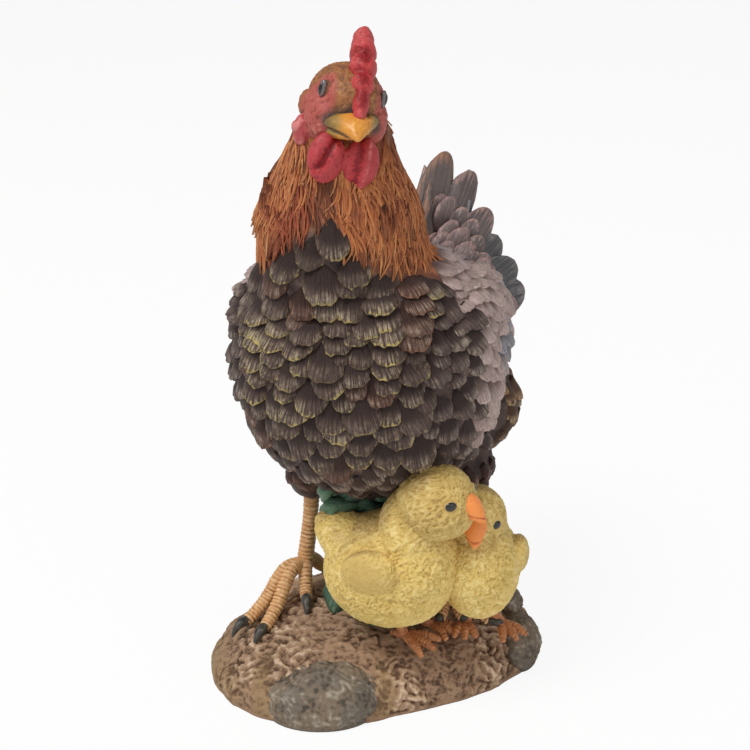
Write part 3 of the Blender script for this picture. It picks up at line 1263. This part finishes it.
def ivySpots():
    dice = random.Random(ivy["seed"])
    half = ivy["clump"] / 2
    bottom, top = legs["moundHeight"] - 0.004, hen["bellyLevel"] + 0.006
    middle = ivy["middle"]
    spots = []

    def leafSpot(root, along, normal, base, rim, size):
        matrix = frameMatrix(root, along, normal)
        return spot(matrix, base, rim, dice.randrange(3), dice.random(), (size, size, 1))

    rows = round((top - bottom) / (ivy["length"] * 0.48))
    for row in range(rows):
        height = bottom + ivy["length"] * 0.6 + (top - bottom - ivy["length"] * 0.2) * row / (rows - 1)
        for column in range(9):
            phi = math.tau * (column + 0.5 * (row % 2) + dice.uniform(-0.25, 0.25)) / 9
            out = Vector((math.cos(phi), math.sin(phi), 0))
            along = (-up + out * dice.uniform(0.1, 0.6) + out.cross(up) * dice.uniform(-0.7, 0.7)).normalized()
            normal = (out + up * dice.uniform(0.1, 0.6)).normalized()
            root = middle + out * (half + dice.uniform(-0.002, 0.0015))
            root += up * (height + dice.uniform(-0.002, 0.002))
            base, rim = ivy[dice.choice(("green", "green", "dark"))]
            size = dice.uniform(0.8, 1.2)
            spots.append(leafSpot(root, along, normal, base, rim, size))
    # The top row curls out under the belly, toward the camera's side.
    ahead = turned(ivy["facing"], (0, -1, 0))
    for across in ivy["topRow"]:
        foot = middle + turned(ivy["facing"], (across, 0, 0)) + ahead * (0.020 + dice.uniform(-0.002, 0.002))
        hit, _, _, _ = coreTree.ray_cast(foot + up * 0.045, up)
        sideways = turned(ivy["facing"], (dice.choice((-1, 1)), 0, 0))
        along = (sideways + up * dice.uniform(-0.7, 0.3)).normalized()
        normal = (ahead + up * dice.uniform(0.3, 0.9)).normalized()
        base, rim = ivy[dice.choice(("green", "dark"))]
        root = hit - along * ivy["length"] * 0.30 + up * dice.uniform(-0.004, 0.004)
        root += ahead * dice.uniform(0.005, 0.0085)
        size = dice.uniform(0.55, 0.76)
        spots.append(leafSpot(root, along, normal, base, rim, size))
    return spots


leafPaint = featherPaint("leafPaint", featherLook | dict(
    lines=6, curve=0.2, ragged=0.2, rimStart=0.82, rimEnd=1.05, rimAmount=0.6, rootEnd=0.4, rootStart=0.1,
    deep=(0.35, 0.38, 0.36, 1), lineAmount=0.25, sideAmount=0.0, brushAmount=0.5, brushTone=(136, 154, 126),
    bumpDepth=0.0004, roughness=0.55))
scatterPiece("ivyLeaves", ivySpots(), [unitLeaf(index) for index in range(3)], leafPaint,
             (ivy["width"], ivy["length"], ivy["thickness"]), 0.4, 0.1, 13)


def ivyStem():
    bm = bmesh.new()
    bottom, top = legs["moundHeight"] - 0.008, hen["bellyLevel"] + 0.008
    half = ivy["clump"] / 2
    line = [ivy["middle"] + up * level for level in (bottom, (bottom + top) / 2, top)]
    tube(bm, line, [half, half * 0.9, half], sides=24)
    return carve(fused(meshFrom(bm, "stem"), ivy["grain"], 2), lambda place, normal: (
        0.0014 * noise.noise(place * 220), 0.4 + noise.noise(place * 300), 0.0))


finishPiece("ivyStem", ivyStem(), castPaint("ivyShade", dict(
    base=(50, 54, 42), wash=(26, 28, 22), light=(80, 88, 68), roughness=0.7)))


# Chicks: the first one looks over the second one's head

chicks = dict(length=0.053, width=0.037, height=0.047, head=0.0285, legLength=0.0145, beak=0.0085,
              legThickness=0.0035, toe=0.0145, scute=0.0013, grain=0.00051,
              eye=dict(sunk=0.0003, depth=0.0024, width=0.0045, height=0.0037),
              lid=dict(sunk=0.0007, depth=0.0022, width=0.0053, height=0.0045))

# Eyes are shares of the head's size; feet are across, back, turn and share of the toe's length
chickPoses = (dict(name="chickOne", scale=1.0, ground=(0.017, -0.030, 0), turn=92, headTurn=80,
                   headShift=(-0.004, -0.0195, 0.0330), eyes=((-0.330, -0.366, 0.149), (0.330, -0.366, 0.149)),
                   feet=((0.004, 0.007, 76, 1.0), (0.0115, 0.019, 80, 0.75))),
              dict(name="chickTwo", scale=0.86, ground=(0.0475, -0.010, 0), turn=8, headTurn=17,
                   headShift=(-0.0022, -0.0080, 0.0280), eyes=((-0.37, -0.33, 0.05), (0.34, -0.36, 0.05)),
                   feet=((0.0075, 0.009, 48, 0.9), (-0.007, 0.004, 20, 0.75))))


def chickPlaces(pose):
    scale, turn = pose["scale"], pose["turn"]
    height = chicks["height"] * scale
    body = Vector(pose["ground"]) + up * (legs["moundHeight"] + chicks["legLength"] + height / 2 - 0.005)
    skull = body + turned(turn, Vector(pose["headShift"]) * scale)
    size = chicks["head"] * scale
    gape = skull + turned(pose["headTurn"], (0, -size * 0.46, size * 0.05))
    return body, skull, size, gape


def chickBody(pose):
    bm = bmesh.new()
    scale, turn = pose["scale"], pose["turn"]
    width, length, height = chicks["width"] * scale, chicks["length"] * scale, chicks["height"] * scale
    body, skull, size, _ = chickPlaces(pose)
    blob(bm, body, (width, length, height), turn=turn, pitch=-14)
    tailLine = [body + turned(turn, (0, length * back, height * rise))
                for back, rise in ((0.05, 0.05), (0.34, 0.22), (0.50, 0.36), (0.55, 0.40))]
    tube(bm, tailLine, [width * share for share in (0.42, 0.30, 0.16, 0.05)], sideHint=turned(turn, (1, 0, 0)))
    blob(bm, body + turned(turn, (0, -length * 0.19, height * 0.13)),
         (width * 0.96, length * 0.66, height * 0.92), turn=turn)
    blob(bm, body.lerp(skull, 0.5), (width * 0.78, length * 0.5, height * 0.9), turn=turn)
    blob(bm, skull, (size, size * 1.06, size), turn=pose["headTurn"])
    wings = []
    for side in (-1, 1):
        wing = body + turned(turn, (side * (width / 2 - 0.0014), length * 0.06, height * 0.14))
        wings.append(wing)
        blob(bm, wing, (0.0085, length * 0.44, height * 0.36), turn=turn + side * 6, pitch=-20)
    mesh = fused(meshFrom(bm, pose["name"]), chicks["grain"], 7)
    flow = turned(turn, (0, 1, -0.7)).normalized()
    back = turned(turn, (0, 0.5, 0.85)).normalized()
    eyes = chickEyeSpots(pose)

    def depthAt(place, normal):
        local = place - body
        drawn = local - flow * local.dot(flow) * 0.55
        strands = max(strandRidge(drawn, 600, 2.2), 0.85 * strandRidge(drawn, 860, 2.6, 7.3))
        wingShare = 0.0
        for wing in wings:
            offset = turned(-turn, place - wing)
            reach = math.hypot(offset.x / 0.009, offset.y / (length * 0.23), offset.z / (height * 0.19))
            wingShare = max(wingShare, smoothStep(1.15, 0.55, reach))
        calm = 1 - 0.55 * wingShare
        eyeGap = min((place - eye).length for eye in eyes)
        calm *= smoothStep(0.0024, 0.0040, eyeGap)
        lump = noise.noise(place * 110)
        depth = calm * (0.00075 * strands - 0.0003) + 0.0005 * lump - 0.0007 * math.exp(-(eyeGap / 0.0026) ** 2)
        brown = smoothStep(0.45, 1.0, normal.dot(back) + 0.35 * lump)
        brown = max(brown, 0.5 * smoothStep(size * 0.75, size * 0.45, (place - skull).length))
        brown = max(brown * 0.8, 0.40 * wingShare)
        return depth, calm * (0.22 + 0.62 * strands) + (1 - calm) * 0.55 + 0.12 * lump, brown

    return carve(mesh, depthAt)


def chickEyeSpots(pose):
    _, skull, size, _ = chickPlaces(pose)
    return [skull + turned(pose["headTurn"], Vector(eye) * size) for eye in pose["eyes"]]


def chickEyeMesh(sunk, depth, width, height):
    bm = bmesh.new()
    for pose in chickPoses:
        growth = pose["scale"] ** 0.5
        for eye in chickEyeSpots(pose):
            facing = (eye - chickPlaces(pose)[1]).normalized()
            blob(bm, eye - facing * sunk, (depth, width * growth, height * growth),
                 turn=math.degrees(math.atan2(facing.y, facing.x)))
    return carve(meshFrom(bm, "eyes"), lambda place, normal: (0.0, 0.5, 0.0))


def chickBeaks():
    bm = bmesh.new()
    length = chicks["beak"]
    half = length * 0.42
    for pose in chickPoses:
        gape = chickPlaces(pose)[3]
        point = gape + turned(pose["headTurn"], (0, -length * 0.80, -length * 0.62))
        inner = gape + turned(pose["headTurn"], (0, length * 0.5, 0))
        line, sizes = smoothPath([inner, gape, gape.lerp(point, 0.6), point],
                                 [half * 1.4, half * 1.35, half * 0.8, half * 0.12], 0.0004)
        tube(bm, line, sizes, [width * 0.95 for width in sizes], sides=20)
    mesh = fused(meshFrom(bm, "beaks"), beak["grain"], 1)
    gapes = [chickPlaces(pose)[3] for pose in chickPoses]

    def depthAt(place, normal):
        lips = min(abs((place - gape).z + 0.0010 + 0.35 * (place - gape).xy.length) for gape in gapes)
        mouth = math.exp(-(lips / 0.0004) ** 2)
        grain = noise.noise(place * 500)
        return 0.0001 * grain - 0.0003 * mouth, 0.55 + 0.3 * grain - 0.5 * mouth, 0.0

    return carve(mesh, depthAt)


def chickFeet():
    bm = bmesh.new()
    half = chicks["legThickness"] / 2
    for pose in chickPoses:
        body = chickPlaces(pose)[0]
        scale = pose["scale"]
        for across, back, turn, share in pose["feet"]:
            foot = Vector(pose["ground"]) + Vector((across, back, legs["moundHeight"] + 0.0004))
            hip = body - up * chicks["height"] * scale * 0.42 + Vector((across * 0.1, back * 0.35, 0))
            scuteTube(bm, [hip, hip.lerp(foot, 0.6), foot], [half * 1.25, half * 1.05, half * 1.1],
                      chicks["scute"] + 0.0001, sides=14)
            length = chicks["toe"] * scale * share
            for angle in (-30, 0, 30):
                tip = foot + turned(turn + angle, (0, -length, -0.0020))
                scuteTube(bm, [foot, foot.lerp(tip, 0.6) + up * 0.0010, tip], [half * 1.05, half, half * 0.5],
                          chicks["scute"], sides=14)
            heel = foot + turned(turn, (0, length * 0.45, -0.0010))
            scuteTube(bm, [foot, foot.lerp(heel, 0.5), heel], [half, half * 0.9, half * 0.5], chicks["scute"],
                      sides=14)
    return meshFrom(bm, "feet")


chickPaint = castPaint("chickPaint", dict(
    base=(224, 192, 108), wash=(182, 145, 78), light=(250, 232, 168), baseTwo=(166, 134, 80), washTwo=(118, 92, 56),
    lightTwo=(212, 184, 124), roughness=0.6, brushStart=0.5, washReach=0.5, streaks=1700.0, bump=0.8))
for pose in chickPoses:
    finishPiece(pose["name"], chickBody(pose), chickPaint)
finishPiece("chickEyes", chickEyeMesh(**chicks["eye"]), bpy.data.materials["eyePaint"])
finishPiece("chickEyelids", chickEyeMesh(**chicks["lid"]), castPaint("chickLidPaint", dict(
    base=(196, 164, 100), wash=(140, 112, 66), light=(222, 196, 140), roughness=0.5)))
finishPiece("chickBeaks", chickBeaks(), castPaint("chickBeakPaint", dict(
    base=(240, 146, 76), wash=(196, 104, 54), light=(250, 190, 126), roughness=0.45)))
finishPiece("chickFeet", chickFeet(), castPaint("chickFootPaint", dict(
    base=(184, 120, 78), wash=(118, 68, 42), light=(220, 164, 118), roughness=0.5, washReach=0.5)))


# Mound of earth, and its rocks

mound = dict(width=0.14098, depth=0.102, turn=37, lobe=0.0028, height=0.025, rim=0.013, lump=0.0016,
             grain=0.00060, rockWidth=0.046, rockHeight=0.030, rockGrain=0.00050,
             frontRock=(math.radians(-93), 0.80, 0.006))


def moundPoint(angle, share, height):
    turn = math.radians(mound["turn"])
    halfWidth, halfDepth = mound["width"] / 2, mound["depth"] / 2
    around = angle - turn
    reach = halfWidth * halfDepth / math.hypot(halfDepth * math.cos(around), halfWidth * math.sin(around))
    reach = (reach + mound["lobe"] * math.cos(3 * (angle - turn / 2))) * share
    return Vector((reach * math.cos(angle) - 0.0015, reach * math.sin(angle) - 0.001, height))


def cutFlat(mesh):
    # Cut at the table, so that the underside is one flat face.
    bm = bmesh.new()
    bm.from_mesh(mesh)
    cut = bmesh.ops.bisect_plane(bm, geom=list(bm.verts) + list(bm.edges) + list(bm.faces), dist=1e-6,
                                 plane_co=(0, 0, 0), plane_no=(0, 0, -1), clear_outer=True)
    bmesh.ops.contextual_create(bm, geom=[item for item in cut["geom_cut"] if isinstance(item, bmesh.types.BMEdge)])
    bmesh.ops.triangulate(bm, faces=[face for face in bm.faces if len(face.verts) > 4])
    bmesh.ops.recalc_face_normals(bm, faces=bm.faces)
    bm.to_mesh(mesh)
    bm.free()
    return mesh


def earthMound():
    bm = bmesh.new()
    rings = []
    rim, top = mound["rim"], mound["height"]
    profile = ((-0.003, 0.975), (rim * 0.30, 0.995), (rim * 0.65, 0.97), (rim, 0.90),
               (rim + (top - rim) * 0.50, 0.77), (top - 0.002, 0.55), (top, 0.24))
    for height, share in profile:
        ring = []
        for step in range(96):
            point = moundPoint(math.tau * step / 96, share, height)
            lump = noise.noise_vector(point * 95) * mound["lump"]
            ring.append(bm.verts.new(point + Vector((lump.x, lump.y, lump.z * (share < 0.98)))))
        rings.append(ring)
    bridge(bm, rings)
    mesh = fused(meshFrom(bm, "mound"), mound["grain"], 3)
    stone = moundPoint(*mound["frontRock"])

    def depthAt(place, normal):
        if place.z < 0.001:
            return 0.0, 0.4, 0.0
        bent = place + noise.noise_vector(place * 160) * 0.0030
        crumb = noise.noise(Vector((bent.x * 330, bent.y * 420, bent.z * 420)))
        chip = noise.noise(bent * 620 + Vector((5, 2, 9)))
        rough = 0.35 + 0.65 * smoothStep(-0.25, 0.15, noise.noise(place * 42))
        raised = smoothStep(-0.12, 0.16, crumb)
        fine = noise.noise(place * 900)
        lump = noise.noise(place * 120)
        depth = rough * (0.0013 * raised + 0.0005 * chip) + 0.0009 * lump + 0.00015 * fine - 0.0010
        ring = (place - stone).xy.length
        bare = smoothStep(0.006, 0.001, abs(ring - 0.0245)) * smoothStep(0.022, 0.014, place.z)
        bare = max(bare, smoothStep(0.016, 0.008, place.z) * smoothStep(-0.030, -0.044, place.x) * 0.8)
        depth *= 1 - 0.7 * bare
        relief = 0.32 + rough * (0.50 * raised + 0.30 * chip - 0.1) + 0.22 * fine + 0.2 * lump
        return depth, relief, bare

    return cutFlat(carve(mesh, depthAt))


def rockStones():
    bm = bmesh.new()
    wide, high = mound["rockWidth"], mound["rockHeight"]
    blob(bm, moundPoint(*mound["frontRock"]), (wide, wide * 0.66, high), turn=20, roll=-6)
    blob(bm, moundPoint(math.radians(15), 0.89, 0.008), (wide * 0.44, wide * 0.62, high * 0.86), turn=14)
    blob(bm, moundPoint(math.radians(28), 0.80, mound["height"] - 0.006), (wide * 0.36, wide * 0.34, high * 0.56))
    mesh = fused(meshFrom(bm, "rocks"), mound["rockGrain"], 2)

    def depthAt(place, normal):
        if place.z < 0.001:
            return 0.0, 0.4, 0.0
        facet = noise.voronoi(place * 75)[0]
        bent = place * 150 + noise.noise_vector(place * 60) * 1.4
        crack = 1 - min(1.0, abs(noise.noise(Vector((bent.x, bent.y * 2.2, bent.z)))) * 5)
        ridge = noise.noise(place * 140)
        pit = noise.noise(place * 620)
        height = 0.0012 * min(0.5, facet[1] - facet[0]) + 0.0010 * ridge + 0.0003 * pit - 0.0004 * crack - 0.0006
        tone = smoothStep(-0.2, 0.3, noise.noise(place * 70))
        return height, 0.36 + 0.40 * pit + 0.30 * ridge + 0.30 * crack, tone

    return cutFlat(carve(mesh, depthAt))


finishPiece("earthMound", earthMound(), castPaint("earthPaint", dict(
    base=(158, 127, 100), wash=(78, 54, 38), light=(216, 190, 162), baseTwo=(150, 122, 88), washTwo=(104, 78, 54),
    lightTwo=(192, 164, 130), roughness=0.75, washReach=0.5, brushStart=0.55, streaks=1100.0, bump=0.8)))
finishPiece("rockStones", rockStones(), castPaint("rockPaint", dict(
    base=(112, 102, 90), wash=(74, 66, 56), light=(178, 168, 152), baseTwo=(124, 108, 90), roughness=0.7,
    brushStart=0.48, streaks=1200.0, bump=0.6)))


# Floor, light and camera

# Each lamp by its place, size and power
studio = dict(azimuth=20, distance=0.480, height=0.300, aim=0.1249, lens=62.4, sensor=36, near=0.01, world=0.46,
              floorSize=6.0, floorGlow=0.90, floorColour=0.90, lampAim=0.12,
              lamps=dict(keyLamp=((-0.55, -0.95, 1.85), 1.0, 27.0), fillLamp=((1.5, -0.8, 0.9), 1.5, 5.0)))


def paleFloor():
    bm = bmesh.new()
    bmesh.ops.create_grid(bm, x_segments=1, y_segments=1, size=studio["floorSize"])
    mesh = bpy.data.meshes.new("floor")
    bm.to_mesh(mesh)
    bm.free()
    floor = linked(mesh, "paleFloor")
    material = bpy.data.materials.new("paleFloor")
    material.use_nodes = True
    tree = material.node_tree
    shader = tree.nodes["Principled BSDF"]
    tone = studio["floorColour"]
    shader.inputs["Base Color"].default_value = (tone, tone, tone, 1)
    shader.inputs["Roughness"].default_value = 0.9
    shader.inputs["Specular IOR Level"].default_value = 0.0
    glow = addNode(tree, "ShaderNodeEmission")
    mix = tree.nodes.new("ShaderNodeMixShader")
    path = tree.nodes.new("ShaderNodeLightPath")
    share = product(tree, path.outputs["Is Camera Ray"], studio["floorGlow"])
    feed(tree, mix.inputs, (share, shader.outputs[0], glow.outputs[0]))
    tree.links.new(mix.outputs[0], tree.nodes["Material Output"].inputs["Surface"])
    mesh.materials.append(material)


def aimed(data, name, place, level):
    # A lamp or camera at a place, turned to look at a level of the figurine's axis.
    item = linked(data, name)
    item.location = place
    item.rotation_euler = (up * level - item.location).to_track_quat("-Z", "Y").to_euler()
    return item


def addLamp(name, place, size, power):
    light = bpy.data.lights.new(name, "AREA")
    light.shape = "DISK"
    light.size = size
    light.energy = power
    aimed(light, name, place, studio["lampAim"])


def addCamera():
    camera = bpy.data.cameras.new("camera")
    camera.lens = studio["lens"]
    camera.sensor_width = studio["sensor"]
    camera.clip_start = studio["near"]
    place = turned(studio["azimuth"], (0, -studio["distance"], studio["height"]))
    bpy.context.scene.camera = aimed(camera, "camera", place, studio["aim"])


paleFloor()
for name, lamp in studio["lamps"].items():
    addLamp(name, *lamp)
addCamera()
world = bpy.data.worlds.new("studioWorld")
world.use_nodes = True
background = world.node_tree.nodes["Background"]
background.inputs["Color"].default_value = (1, 1, 1, 1)
background.inputs["Strength"].default_value = studio["world"]
bpy.context.scene.world = world
bpy.context.scene.view_settings.view_transform = "Standard"
print("floor, light and camera")
